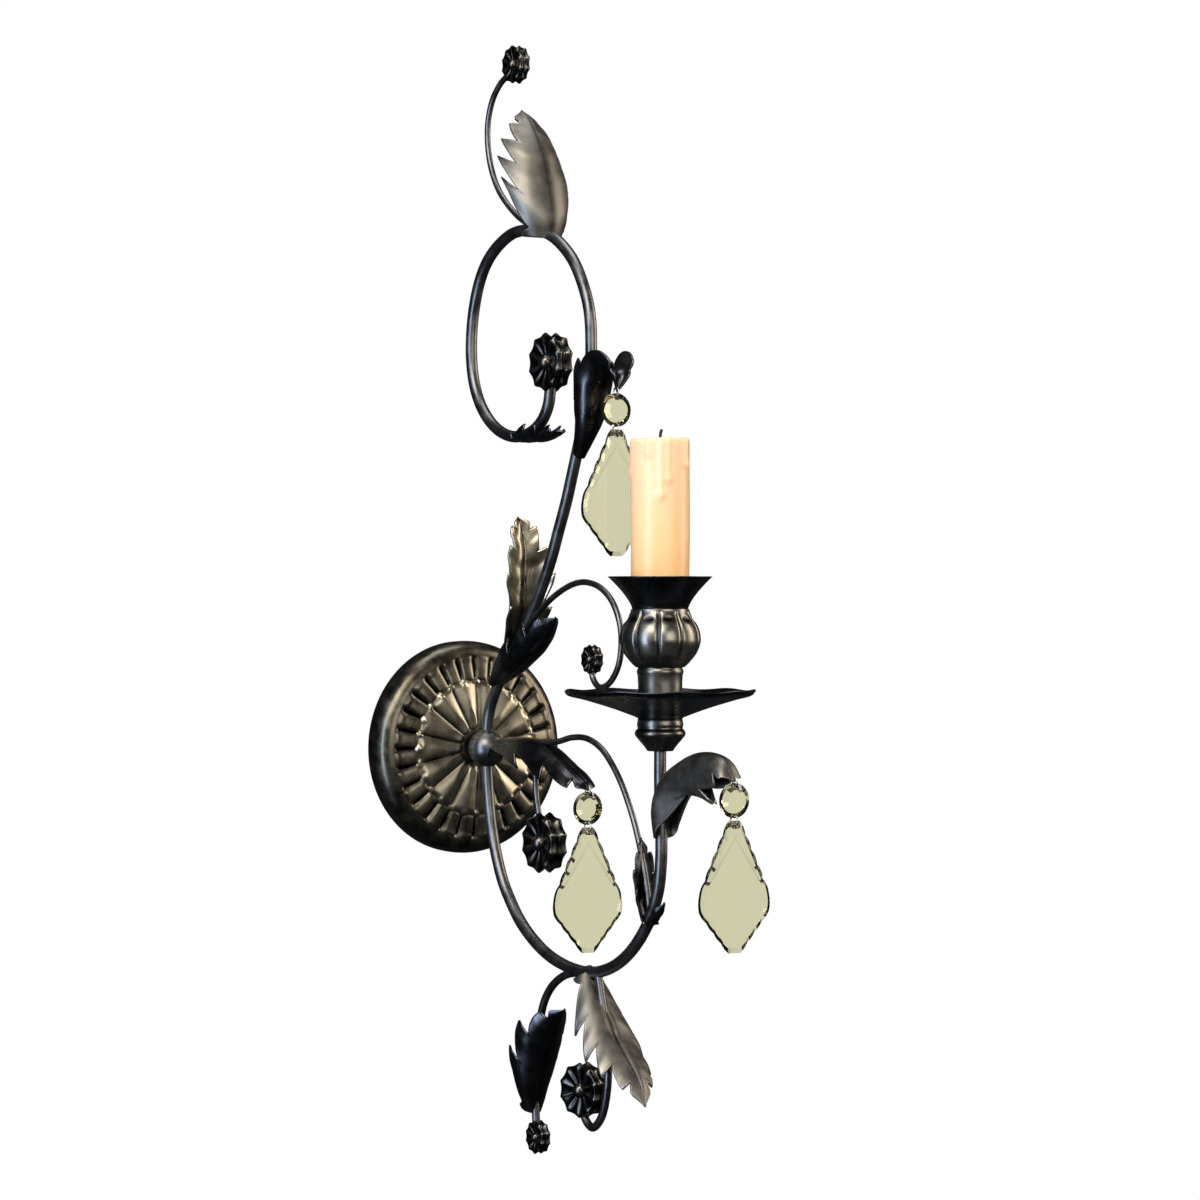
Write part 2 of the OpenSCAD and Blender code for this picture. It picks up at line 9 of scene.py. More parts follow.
# %% Load the frame
import math

import bmesh
import bpy
import numpy as np
from mathutils import Matrix, Vector


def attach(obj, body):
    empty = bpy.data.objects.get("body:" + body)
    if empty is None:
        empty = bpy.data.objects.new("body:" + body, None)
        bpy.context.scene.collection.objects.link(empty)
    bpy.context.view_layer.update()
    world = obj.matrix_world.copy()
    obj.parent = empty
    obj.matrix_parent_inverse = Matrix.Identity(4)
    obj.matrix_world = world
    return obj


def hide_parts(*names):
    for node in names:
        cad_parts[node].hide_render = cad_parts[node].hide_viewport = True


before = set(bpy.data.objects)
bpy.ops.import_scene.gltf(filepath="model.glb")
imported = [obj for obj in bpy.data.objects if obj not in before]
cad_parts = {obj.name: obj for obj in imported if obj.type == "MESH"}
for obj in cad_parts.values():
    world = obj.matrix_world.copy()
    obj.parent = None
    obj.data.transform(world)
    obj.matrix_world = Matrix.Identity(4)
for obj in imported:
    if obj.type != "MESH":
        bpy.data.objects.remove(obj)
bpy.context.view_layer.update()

MM = 0.001

# %% [markdown]
# ## Camera
# The sconce is seen from its left, turned 33 degrees, at the height of the cup and from
# 2.5 m away, so the lines stay almost parallel. A long lens does that: 123 mm.

# %% Camera
camera_data = bpy.data.cameras.new("studio_camera")
camera_data.lens = 123
camera_data.sensor_width = 36
camera_data.clip_end = 50
camera = bpy.data.objects.new("studio_camera", camera_data)
bpy.context.scene.collection.objects.link(camera)
camera.location = (-1.294, -2.150, 0.0896)
camera.rotation_euler = (math.radians(90), 0, math.radians(-33))
bpy.context.scene.camera = camera
print("camera at", tuple(camera.location))

# %% [markdown]
# ## Studio
# Polished dark metal shows what is round it more than its own colour. So the room is
# dim, with large soft lamps for the highlights: a cool strip on the left that draws the
# bluish edges, a warm key above, and a weak fill on the right. What the camera itself
# sees behind the sconce is plain white, and so is what one crystal shows through it.
# Light that has bounced more than CLEAR_BOUNCES times comes from the dim room, so a
# crystal's edges turn black as they do in cut glass. A view through two crystals in line
# passes that count too, so where two drops overlap the white behind them turns dark.

# %% Studio light
scene = bpy.context.scene
scene.view_settings.view_transform = "Standard"


def linear(hex_colour, alpha=1.0):
    """A colour written as sRGB hex, as the linear numbers that shaders use."""
    parts = [int(hex_colour[i : i + 2], 16) / 255 for i in (1, 3, 5)]
    shade = [p / 12.92 if p <= 0.04045 else ((p + 0.055) / 1.055) ** 2.4 for p in parts]
    return (*shade, alpha)


def add(tree, kind, inputs=None, **settings):
    """Adds one node. Inputs are values or sockets to link from, and settings are its own."""
    node = tree.nodes.new(kind)
    for key, value in settings.items():
        setattr(node, key, value)
    for key, value in (inputs or {}).items():
        if isinstance(value, bpy.types.NodeSocket):
            tree.links.new(value, node.inputs[key])
        else:
            node.inputs[key].default_value = value
    return node


ROOM_GREY = 0.035
CLEAR_BOUNCES = 3.5
world = bpy.data.worlds.new("white_studio")
scene.world = world
world.use_nodes = True
room = world.node_tree
room.nodes.clear()
path = add(room, "ShaderNodeLightPath")
short = add(room, "ShaderNodeMath", {0: path.outputs["Ray Depth"], 1: CLEAR_BOUNCES},
    operation="LESS_THAN")
through = add(room, "ShaderNodeMath", {0: path.outputs["Is Transmission Ray"],
    1: short.outputs[0]}, operation="MULTIPLY")
seen = add(room, "ShaderNodeMath", {0: path.outputs["Is Camera Ray"],
    1: through.outputs[0]}, operation="MAXIMUM")
dim = add(room, "ShaderNodeBackground", {"Color": linear("#dfe6f0"), "Strength": ROOM_GREY})
white = add(room, "ShaderNodeBackground", {"Color": (1, 1, 1, 1), "Strength": 1.0})
both = add(room, "ShaderNodeMixShader", {0: seen.outputs[0], 1: dim.outputs[0],
    2: white.outputs[0]})
add(room, "ShaderNodeOutputWorld", {"Surface": both.outputs[0]})


def lamp(name, place, aim, size, power, colour):
    """A soft rectangular lamp that looks at a point."""
    data = bpy.data.lights.new(name, "AREA")
    data.shape = "RECTANGLE"
    data.size, data.size_y = size
    data.energy = power
    data.color = linear(colour)[:3]
    holder = bpy.data.objects.new(name, data)
    scene.collection.objects.link(holder)
    holder.location = place
    holder.rotation_euler = (Vector(aim) - Vector(place)).to_track_quat("-Z", "Y").to_euler()


CENTRE = (0, -0.15, 0.08)
lamp("key", (-1.4, -1.2, 1.5), CENTRE, (1.1, 1.1), 42, "#fff4e6")
lamp("cool_strip", (-1.65, -0.5, 0.15), CENTRE, (0.4, 1.9), 26, "#cfe0ff")
lamp("front", (-0.2, -2.3, 0.5), CENTRE, (1.4, 0.9), 17, "#fff8ee")
lamp("right_fill", (1.6, -0.9, 0.6), CENTRE, (0.7, 1.4), 20, "#ffeedd")
lamp("top", (0.1, -0.1, 1.7), CENTRE, (0.9, 0.9), 12, "#ffffff")

floor_mesh = bpy.data.meshes.new("pale_floor")
FLOOR_HALF, FLOOR_Z = 3.5, -1.2
floor_mesh.from_pydata([(x, y, FLOOR_Z) for x, y in ((-FLOOR_HALF, -FLOOR_HALF),
    (FLOOR_HALF, -FLOOR_HALF), (FLOOR_HALF, FLOOR_HALF), (-FLOOR_HALF, FLOOR_HALF))],
    [], [(0, 1, 2, 3)])
floor = bpy.data.objects.new("pale_floor", floor_mesh)
scene.collection.objects.link(floor)
floor.visible_glossy = False

# %% [markdown]
# ## Finishes
# ### Dark bronze lacquer
# The steel is dipped in a thin dark lacquer with metal flake in it. It gives the eye a
# near-black metal with soft bright highlights, warmer where the coat is thin, on the
# raised parts that a cloth rubs. Principled at full metallic does it, with a mottle of a
# few millimetres in its roughness and a rub attribute that each mesh carries for its
# raised parts. That attribute also paints light: low in grooves, folds and slots it is
# painted shade, and high on edges and humps it is wear and painted highlight together.
# Metals keep the default IOR.
# The small leaves, the drip pan and the cup's flare have a darker copy of the coat, as
# painted shade for parts that face away from the lamps. The bars and the ball hub have a
# lighter copy, a painted sheen for the broad grey highlight along the bars. The creased
# leaf has the plate's darker coat and brighter rub, as painted shade and painted highlight.

# %% Lacquer on metal
MOTTLE_SHARE = 0.7
WEAR_AND_PAINTED_LIGHT_FROM, WEAR_AND_PAINTED_LIGHT_TO = 0.25, 1.25
SMOOTHER, ROUGHER = 0.06, 0.08


def new_material(name):
    material = bpy.data.materials.new(name)
    material.use_nodes = True
    material.node_tree.nodes.clear()
    return material, material.node_tree


def lacquer(name, coat, rubbed, roughness, mottle_mm, grain_mm, grain_depth_mm):
    """Bronze lacquer: coat and rubbed colours mixed by wear and painted light, a mottle and a fine
    orange peel.
    """
    material, tree = new_material(name)
    place = add(tree, "ShaderNodeTexCoord").outputs["Object"]
    mottle = add(tree, "ShaderNodeTexNoise", {"Vector": place,
        "Scale": 1 / (mottle_mm * MM), "Detail": 5, "Roughness": 0.6})
    # The rub value is wear on raised parts and painted light: low in hollows as painted shade, high
    # on edges and humps as painted highlight.
    rub_and_painted_light = add(tree, "ShaderNodeAttribute", attribute_name="rub_and_painted_light")
    wear_and_painted_light = add(tree, "ShaderNodeMath", {0: mottle.outputs["Fac"], 1: MOTTLE_SHARE,
        2: rub_and_painted_light.outputs["Fac"]}, operation="MULTIPLY_ADD")
    share = add(tree, "ShaderNodeMapRange", {"Value": wear_and_painted_light.outputs[0], "From Min": WEAR_AND_PAINTED_LIGHT_FROM,
        "From Max": WEAR_AND_PAINTED_LIGHT_TO})
    colour = add(tree, "ShaderNodeMix", {"Factor": share.outputs[0], 6: linear(coat),
        7: linear(rubbed)}, data_type="RGBA")
    rough = add(tree, "ShaderNodeMapRange", {"Value": mottle.outputs["Fac"],
        "From Min": 0.3, "From Max": 0.7, "To Min": roughness - SMOOTHER,
        "To Max": roughness + ROUGHER})
    grain = add(tree, "ShaderNodeTexNoise", {"Vector": place, "Scale": 1 / (grain_mm * MM),
        "Detail": 3})
    bump = add(tree, "ShaderNodeBump", {"Height": grain.outputs["Fac"], "Strength": 0.5,
        "Distance": grain_depth_mm * MM})
    skin = add(tree, "ShaderNodeBsdfPrincipled", {"Base Color": colour.outputs[2],
        "Metallic": 1.0, "Roughness": rough.outputs[0], "Normal": bump.outputs[0]})
    add(tree, "ShaderNodeOutputMaterial", {"Surface": skin.outputs[0]})
    return material


# A lighter copy of the coat: a painted sheen that stands for the broad grey highlight along the
# bars.
bar_lacquer_with_painted_sheen = lacquer("bronze_lacquer_with_painted_sheen_on_bar", "#5c5d5f", "#b3b1ac", 0.36, 9, 1.4, 0.01)
sheet_lacquer = lacquer("bronze_lacquer_on_hammered_sheet", "#3a3a37", "#8a8780", 0.46, 9,
    2.2, 0.05)
# A darker copy of the sheet coat: painted shade for the small leaves, the pan and the flare, which
# face away from the lamps.
painted_shade_lacquer = lacquer("bronze_lacquer_darkened_as_painted_shade", "#1b1c1e", "#55565a", 0.28, 9, 2.2, 0.05)
plate_lacquer = lacquer("bronze_lacquer_on_pressed_steel", "#121211", "#b3ad9a", 0.32, 8,
    1.6, 0.04)
cast_lacquer = lacquer("bronze_lacquer_on_castings", "#161617", "#66645f", 0.28, 5, 1.0, 0.04)
cup_lacquer = lacquer("bronze_lacquer_on_spun_cup", "#2c2c2a", "#8f8d85", 0.33, 10, 1.5, 0.03)
print("lacquers:", [m.name for m in bpy.data.materials])

# %% [markdown]
# ### Zinc-plated steel and plated wire
# The bracket, stud, nut and threaded tube are bought parts with a bright grey zinc
# coat, and the drops' rings are nickel-plated wire. Zinc has a spangle of a few
# millimetres that changes how it scatters light. The wire is smoother and a little warm.

# %% Plated metals


def plated(name, colour, rubbed, roughness, spangle_mm):
    """Bare plating: a spangle of cells that shifts the colour and the roughness."""
    material, tree = new_material(name)
    place = add(tree, "ShaderNodeTexCoord").outputs["Object"]
    cells = add(tree, "ShaderNodeTexVoronoi", {"Vector": place, "Scale": 1 / (spangle_mm * MM)})
    tone = add(tree, "ShaderNodeMix", {"Factor": cells.outputs["Distance"], 6: linear(colour),
        7: linear(rubbed)}, data_type="RGBA")
    rough = add(tree, "ShaderNodeMapRange", {"Value": cells.outputs["Distance"],
        "To Min": roughness, "To Max": roughness + 0.15})
    skin = add(tree, "ShaderNodeBsdfPrincipled", {"Base Color": tone.outputs[2],
        "Metallic": 1.0, "Roughness": rough.outputs[0]})
    add(tree, "ShaderNodeOutputMaterial", {"Surface": skin.outputs[0]})
    return material


zinc = plated("zinc_plated_steel", "#b9babb", "#9a9b9d", 0.32, 3.0)
wire = plated("nickel_plated_wire", "#cfcbbd", "#a9a596", 0.18, 1.5)

# %% [markdown]
# ### Khaki crystal
# The drops are pressed lead crystal tinted khaki through and through. The slab shows the
# white behind it through its flat faces, and its bevels bend the view and turn dark or
# flash. Real glass needs full transmission, lead crystal's index of 1.55 and a colour
# that tints light on the way in and again on the way out.

# %% Crystal
crystal, tree = new_material("khaki_lead_crystal")
place = add(tree, "ShaderNodeTexCoord").outputs["Object"]
striae = add(tree, "ShaderNodeTexNoise", {"Vector": place, "Scale": 1 / (14 * MM), "Detail": 2})
tint = add(tree, "ShaderNodeMix", {"Factor": striae.outputs["Fac"], 6: linear("#d7d4b1"),
    7: linear("#d9d6b3")}, data_type="RGBA")
wave = add(tree, "ShaderNodeBump", {"Height": striae.outputs["Fac"], "Strength": 0.15,
    "Distance": 0.2 * MM})
skin = add(tree, "ShaderNodeBsdfPrincipled", {"Base Color": tint.outputs[2],
    "Roughness": 0.0, "IOR": 1.55, "Transmission Weight": 1.0, "Normal": wave.outputs[0]})
add(tree, "ShaderNodeOutputMaterial", {"Surface": skin.outputs[0]})

# %% [markdown]
# ### Paraffin wax and its wick
# Ivory paraffin lets light some millimetres in and out again, so its shadows are warm
# and soft. Subsurface scattering does that, with red going deepest. Its skin has a dull
# gloss and faint dimples of about 6 mm from the mould. The wick is burnt cotton braid.

# %% Wax and wick
wax, tree = new_material("ivory_paraffin_wax")
place = add(tree, "ShaderNodeTexCoord").outputs["Object"]
dimple = add(tree, "ShaderNodeTexNoise", {"Vector": place, "Scale": 1 / (6 * MM), "Detail": 3})
height = add(tree, "ShaderNodeSeparateXYZ", {"Vector": place}).outputs["Z"]
PALE_FROM, DEEP_FROM = 0.185, 0.090
depth = add(tree, "ShaderNodeMapRange", {"Value": height, "From Min": PALE_FROM,
    "From Max": DEEP_FROM})
share = add(tree, "ShaderNodeMath", {0: dimple.outputs["Fac"], 1: 0.25, 2: depth.outputs[0]},
    operation="MULTIPLY_ADD")
tone = add(tree, "ShaderNodeMix", {"Factor": share.outputs[0], 6: linear("#ffd6b4"),
    7: linear("#ffc98e")}, data_type="RGBA")
bump = add(tree, "ShaderNodeBump", {"Height": dimple.outputs["Fac"], "Strength": 0.25,
    "Distance": 0.2 * MM})
skin = add(tree, "ShaderNodeBsdfPrincipled", {"Base Color": tone.outputs[2],
    "Roughness": 0.38, "Subsurface Weight": 0.8, "Subsurface Scale": 6 * MM,
    "Subsurface Radius": (1.0, 0.6, 0.35), "Normal": bump.outputs[0]})
add(tree, "ShaderNodeOutputMaterial", {"Surface": skin.outputs[0]})

char, tree = new_material("charred_cotton_wick")
place = add(tree, "ShaderNodeTexCoord").outputs["Object"]
braid = add(tree, "ShaderNodeTexWave", {"Vector": place, "Scale": 1 / (2.4 * MM),
    "Distortion": 2.0}, bands_direction="DIAGONAL")
tone = add(tree, "ShaderNodeMix", {"Factor": braid.outputs["Fac"], 6: linear("#0b0a09"),
    7: linear("#2e2925")}, data_type="RGBA")
bump = add(tree, "ShaderNodeBump", {"Height": braid.outputs["Fac"], "Distance": 0.2 * MM})
skin = add(tree, "ShaderNodeBsdfPrincipled", {"Base Color": tone.outputs[2],
    "Roughness": 0.9, "Normal": bump.outputs[0]})
add(tree, "ShaderNodeOutputMaterial", {"Surface": skin.outputs[0]})

chalk, tree = new_material("pale_matt_floor")
place = add(tree, "ShaderNodeTexCoord").outputs["Object"]
speck = add(tree, "ShaderNodeTexNoise", {"Vector": place, "Scale": 6})
tone = add(tree, "ShaderNodeMix", {"Factor": speck.outputs["Fac"], 6: linear("#e4e3e0"),
    7: linear("#eeedea")}, data_type="RGBA")
skin = add(tree, "ShaderNodeBsdfPrincipled", {"Base Color": tone.outputs[2], "Roughness": 0.8})
add(tree, "ShaderNodeOutputMaterial", {"Surface": skin.outputs[0]})
floor_mesh.materials.append(chalk)
print("finishes:", [m.name for m in bpy.data.materials])

# %% [markdown]
# ## Shared ways of making a mesh
# Most pieces are a grid of points: rows along the piece, and points across each row.
# One function joins such rows into a mesh, another reads a smooth curve through a few
# drawn points, a third turns modifiers into plain mesh, and a last one hands a finished
# piece to the frame.

# %% Grids, curves and pieces


def mesh_object(name, points, faces, rub_and_painted_light=None):
    """A new object from points in millimetres, with an optional rub value for each, holding wear
    and painted light.
    """
    mesh = bpy.data.meshes.new(name)
    mesh.from_pydata((np.asarray(points, float) * MM).tolist(), [], faces)
    values = np.zeros(len(points)) if rub_and_painted_light is None else np.asarray(rub_and_painted_light, float)
    layer = mesh.attributes.new("rub_and_painted_light", "FLOAT", "POINT")
    layer.data.foreach_set("value", values.astype(np.float32))
    mesh.shade_smooth()
    made = bpy.data.objects.new(name, mesh)
    scene.collection.objects.link(made)
    return made


def grid_faces(rows, across, closed=False):
    """Quads between the rows of a grid, joined round each row if closed."""
    last = across if closed else across - 1
    return [(i * across + j, i * across + (j + 1) % across, (i + 1) * across + (j + 1) % across,
        (i + 1) * across + j) for i in range(rows - 1) for j in range(last)]


def smooth_at(points, u):
    """The point at u, counted in drawn points, on a smooth curve through them."""
    p = np.asarray(points, float)
    m = len(p) - 1
    i = int(min(max(math.floor(u), 0), m - 1))
    t = u - i
    b, c = p[i], p[i + 1]
    a = p[i - 1] if i > 0 else 2 * p[0] - p[1]
    d = p[i + 2] if i < m - 1 else 2 * p[m] - p[m - 1]
    return 0.5 * (2 * b + (c - a) * t + (2 * a - 5 * b + 4 * c - d) * t * t
        + (3 * b - a - 3 * c + d) * t ** 3)


def in_plane(drawn):
    """Drawn points are [reach, height] in the scroll's plane x = 0."""
    return [(0.0, -s, z) for s, z in drawn]


def apply_modifiers(obj):
    """Turns the piece's modifiers into plain mesh."""
    graph = bpy.context.evaluated_depsgraph_get()
    mesh = bpy.data.meshes.new_from_object(obj.evaluated_get(graph))
    obj.modifiers.clear()
    obj.data = mesh
    mesh.name = obj.name


def finished(obj, body, nodes, material=None):
    """Gives a piece to the frame, as plain mesh with its finish."""
    if obj.modifiers:
        apply_modifiers(obj)
    if material is not None:
        obj.data.materials.clear()
        obj.data.materials.append(material)
    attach(obj, body)
    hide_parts(*nodes)
    print(f"{obj.name}: {len(obj.data.polygons)} faces for {', '.join(nodes)}")
    return obj


def facing_out(obj, merge_mm=0.0):
    """Merges doubles and turns every face outwards."""
    work = bmesh.new()
    work.from_mesh(obj.data)
    if merge_mm:
        bmesh.ops.remove_doubles(work, verts=work.verts, dist=merge_mm * MM)
    bmesh.ops.recalc_face_normals(work, faces=work.faces)
    work.to_mesh(obj.data)
    work.free()
    obj.data.shade_smooth()
    return obj


# %% [markdown]
# ## Bars
# Every bar is drawn steel of one round section, bent cold round a jig. A Geometry Nodes
# tree is the natural way: it takes the drawn route as a line, sweeps a circle of the
# bar's radius along it and closes the ends. One tree serves all eight bars, and the wick.

# %% The bar tree
BAR_STEPS, BAR_SIDES = 8, 24


def input_id(tree, name):
    """The identifier of a tree's input, which a modifier needs instead of its name."""
    return next(item.identifier for item in tree.interface.items_tree
        if item.item_type == "SOCKET" and item.in_out == "INPUT" and item.name == name)


def new_tree(name, sockets):
    tree = bpy.data.node_groups.new(name, "GeometryNodeTree")
    tree.interface.new_socket("Geometry", in_out="INPUT", socket_type="NodeSocketGeometry")
    for label, kind in sockets:
        tree.interface.new_socket(label, in_out="INPUT", socket_type=kind)
    tree.interface.new_socket("Geometry", in_out="OUTPUT", socket_type="NodeSocketGeometry")
    return tree, add(tree, "NodeGroupInput")


def end_tree(tree, source, geometry):
    """Shade smooth, realize, set the material and close the tree."""
    soft = add(tree, "GeometryNodeSetShadeSmooth", {"Geometry": geometry})
    real = add(tree, "GeometryNodeRealizeInstances", {"Geometry": soft.outputs[0]})
    done = add(tree, "GeometryNodeSetMaterial", {"Geometry": real.outputs[0],
        "Material": source.outputs["Material"]})
    add(tree, "NodeGroupOutput", {"Geometry": done.outputs[0]})


def use_tree(obj, tree, values):
    modifier = obj.modifiers.new(tree.name, "NODES")
    modifier.node_group = tree
    for name, value in values.items():
        modifier[input_id(tree, name)] = value


bar_tree, source = new_tree("sweep_round_bar", [("Radius", "NodeSocketFloat"),
    ("Sides", "NodeSocketInt"), ("Material", "NodeSocketMaterial")])
line = add(bar_tree, "GeometryNodeMeshToCurve", {"Mesh": source.outputs["Geometry"]})
circle = add(bar_tree, "GeometryNodeCurvePrimitiveCircle", {"Resolution": source.outputs["Sides"],
    "Radius": source.outputs["Radius"]})
swept = add(bar_tree, "GeometryNodeCurveToMesh", {"Curve": line.outputs[0],
    "Profile Curve": circle.outputs[0], "Fill Caps": True})
end_tree(bar_tree, source, swept.outputs[0])


def bent_bar(name, drawn, diameter, node, body="sconce", material=None):
    """A bar along its drawn route, which lies in the scroll's plane if it has two columns."""
    route = in_plane(drawn) if len(drawn[0]) == 2 else drawn
    count = (len(route) - 1) * BAR_STEPS
    points = [smooth_at(route, k / BAR_STEPS) for k in range(count + 1)]
    mesh = bpy.data.meshes.new(name)
    mesh.from_pydata((np.array(points) * MM).tolist(), [(k, k + 1) for k in range(count)], [])
    obj = bpy.data.objects.new(name, mesh)
    scene.collection.objects.link(obj)
    use_tree(obj, bar_tree, {"Radius": diameter / 2 * MM, "Sides": BAR_SIDES,
        "Material": material or bar_lacquer_with_painted_sheen})
    finished(obj, body, [node])


# %% [markdown]
# The routes are drawn as [reach from the wall, height above the hub] in millimetres.
# The main scroll is 7 mm bar in two lengths that both plug into the ball hub, the two
# hanging stems are 4.8 mm and the tendrils 3.6 mm.

# %% The eight bars
bent_bar("upper_scroll_bar", [[32, 5.5], [32.5, 14], [36, 26], [46, 40], [62, 58], [78, 76],
    [92, 94], [104, 113], [113, 131], [121, 147], [128, 164], [136, 184], [142, 204],
    [147, 223], [148, 241], [146, 258], [139, 274], [128, 289], [112, 301], [95, 308],
    [78, 310], [61, 309], [45, 303], [32, 294], [23, 282], [17, 267], [14, 251], [14, 235],
    [18, 219], [27, 205], [41, 194], [58, 188], [76, 188], [92, 194], [101, 204],
    [104, 216]], 7, "upper_scroll")
bent_bar("lower_scroll_bar", [[32, -5.5], [32.3, -15], [34, -30], [37, -46], [42, -62], [50, -79],
    [60, -92], [71, -103], [86, -113], [104, -121], [126, -126], [148, -127], [168, -123],
    [185, -115], [199, -104], [210, -91], [218, -75], [221, -57], [221, -38], [220, -18],
    [220, 2], [220, 9]], 7, "lower_scroll")
bent_bar("top_tendril_bar", [[100, 305], [86, 311], [71, 317], [57, 326], [45, 337], [37, 350],
    [33, 364], [33, 378], [38, 391], [47, 400], [57, 405]], 3.6, "top_tendril")
bent_bar("upper_arch_bar", [[77, 75], [90, 82], [106, 91], [125, 98], [141, 100], [157, 97],
    [170, 89], [178, 77], [180, 65], [177, 52], [168, 42], [157, 39], [150, 44], [149, 50]],
    3.6, "upper_arch")
bent_bar("lower_strut_bar", [[40, 1], [62, 4], [86, 5], [110, 6], [127, 9], [143, 9], [158, 4],
    [170, -5], [180, -16], [188, -28], [195, -41], [201, -56], [206, -72], [210, -90]],
    3.6, "lower_strut")
bent_bar("hanging_stem_bar", [[78, 5], [84, -4], [87, -14], [88, -26], [91, -38], [95, -46]],
    3.6, "hanging_stem")
bent_bar("left_stem_bar", [[147, -125], [133, -128], [119, -131], [106, -138], [97, -148],
    [92, -161], [90, -176], [88, -192], [87, -207], [88, -222]], 4.8, "left_stem")
bent_bar("right_stem_bar", [[155, -125], [159, -140], [163, -155], [165, -170], [166, -184],
    [164, -198], [159, -210], [150, -217], [142, -213], [139, -205]], 4.8, "right_stem")

# %% [markdown]
# ## Leaves
# The smith cuts each leaf from 1.2 mm sheet, chases a midrib and a vein into every
# lobe, and bends its halves back over a stake. So a leaf here is one grid: t runs along
# the midrib, v across from edge to edge, and u along each lobe. The outline, the bend,
# the veins and the hammer marks are all functions of these three, and Solidify gives the
# sheet its thickness. Raised veins and edges get a high rub value, as wear and a painted
# highlight, and the sunk midrib a low one, which is painted shade.
# Lengths are in millimetres. LOOK_AHEAD is in drawn points: the midrib's direction is
# taken over that much each way. LOBE_START and LOBE_END are the share of the length that
# has lobes, and TIP_RUN is how far past them the outline fills out again. WIDEST is where
# in a lobe it is widest, with NOTCH_RUN left for the notch.

# %% The leaf function
SHEET = 1.2
LOOK_AHEAD = 1.2
SIDEWAYS = np.array([1.0, 0, 0])
LOBE_START, LOBE_END, TIP_RUN = 0.06, 0.80, 0.07
WIDEST, NOTCH_RUN, LOBE_ROWS = 0.90, 0.10, 13
VEIN_AT, VEIN_WIDTH, RIB_WIDTH = 0.62, 0.2, 0.06
FLAT_UNDER_MM = 9


def ease(x):
    """0 below 0, 1 above 1, and smooth between."""
    x = min(1.0, max(0.0, x))
    return x * x * (3 - 2 * x)


def three(values, t):
    """A value that goes from the first, through the second at the middle, to the third."""
    return float(np.interp(t, [0, 0.5, 1], values))


def leaf_steps(lobes):
    """Rows along the leaf, closer where a lobe ends in its notch."""
    inner = np.concatenate([np.linspace(0.0, WIDEST, LOBE_ROWS), [0.94, 0.975, 0.995]])
    steps = [LOBE_START + (LOBE_END - LOBE_START) * (i + f) / lobes
        for i in range(lobes) for f in inner]
    return np.unique(np.concatenate([np.linspace(0, LOBE_START, 9), steps,
        np.linspace(LOBE_END, 1, 9)]))


def share_left(t, u, in_lobe, notch):
    """The share of the leaf's half width that the notches leave at t."""
    if in_lobe:
        full = (u / WIDEST) ** 0.8 if u < WIDEST else (1 - u) / NOTCH_RUN
        return 1 - notch * (1 - full)
    if t <= LOBE_START:
        return 1 - notch * ease(t / LOBE_START)
    return 1 - notch * (1 - ease((t - LOBE_END) / TIP_RUN))


